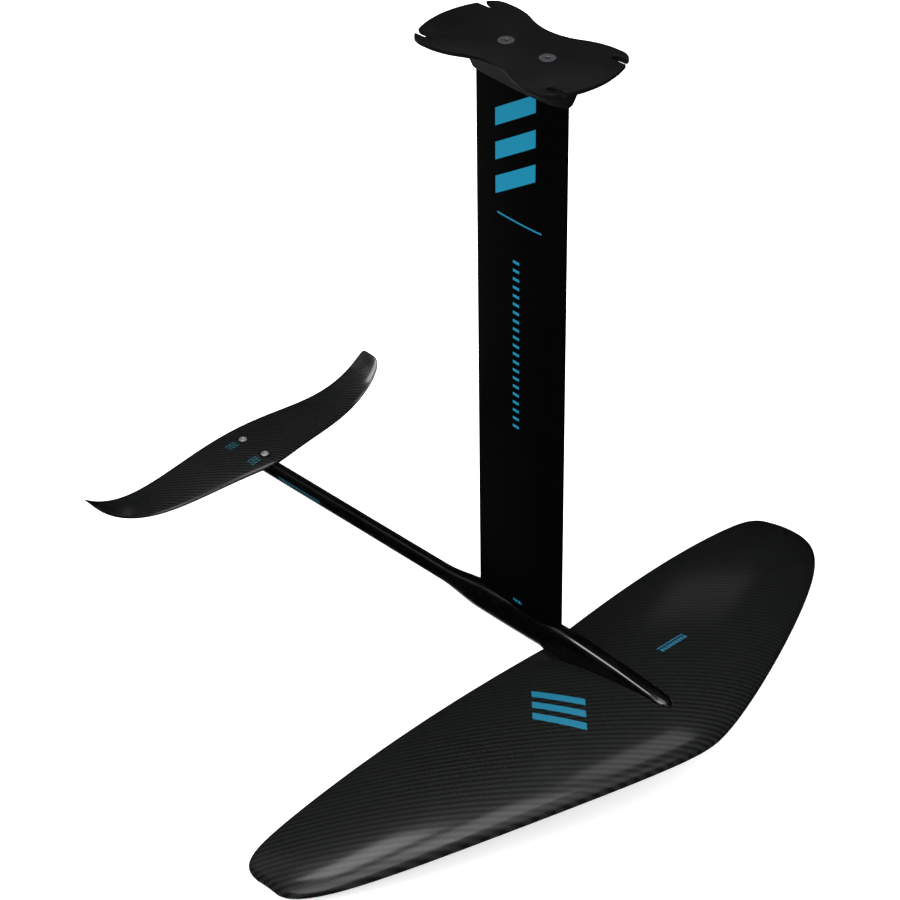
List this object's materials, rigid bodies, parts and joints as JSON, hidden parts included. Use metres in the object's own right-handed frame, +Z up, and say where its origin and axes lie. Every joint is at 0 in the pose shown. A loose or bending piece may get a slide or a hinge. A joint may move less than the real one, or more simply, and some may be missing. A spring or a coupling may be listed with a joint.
{
  "type": "hydrofoil",
  "caption": "Hydrofoil for a wing or surf board: slotted mast plate, foil-section mast, slim fuselage, wide carbon front wing and small rear stabiliser, bolted together.",
  "frame": {"origin": "centre of the mast plate's top face, which lies against the board", "axes": "+X forward, towards the front wing's leading edge; +Y to port, along the span; +Z up, out of the plate's top face"},
  "size_m": [0.7723, 0.846, 0.7837],
  "materials": {
    "anodised_plate": "black anodised, fine bead-blasted satin",
    "dark_steel": "dark grey coated steel, satin",
    "anodised_mast": "black hard anodised extrusion, fine lengthwise grain",
    "gloss_alloy": "gloss black coating over aluminium",
    "carbon_twill": "carbon fibre twill under a satin clear coat",
    "foam": "closed-cell structural foam",
    "glass_laminate": "glass-fibre laminate block",
    "steel": "bright stainless steel",
    "black_washer": "black anodised, satin"
  },
  "bodies": {
    "root": {"mast_plate": "anodised_plate", "mast_plate_screws": "dark_steel", "mast_head": "anodised_plate", "mast": "anodised_mast", "mast_head_thread_inserts": "steel", "mast_head_plugs": "foam", "mast_foot_thread_inserts": "steel", "mast_foot_plugs": "foam", "mast_foot_screws": "steel", "fuselage": "gloss_alloy", "fuselage_wing_inserts": "steel", "fuselage_tail_inserts": "steel", "front_wing_upper_skin": "carbon_twill", "front_wing_lower_skin": "carbon_twill", "front_wing_core": "foam", "front_wing_hardpoint": "glass_laminate", "front_wing_screws": "steel", "front_wing_washers": "black_washer", "stabiliser": "carbon_twill", "stabiliser_screws": "steel", "stabiliser_washers": "black_washer"}
  },
  "joints": []
}
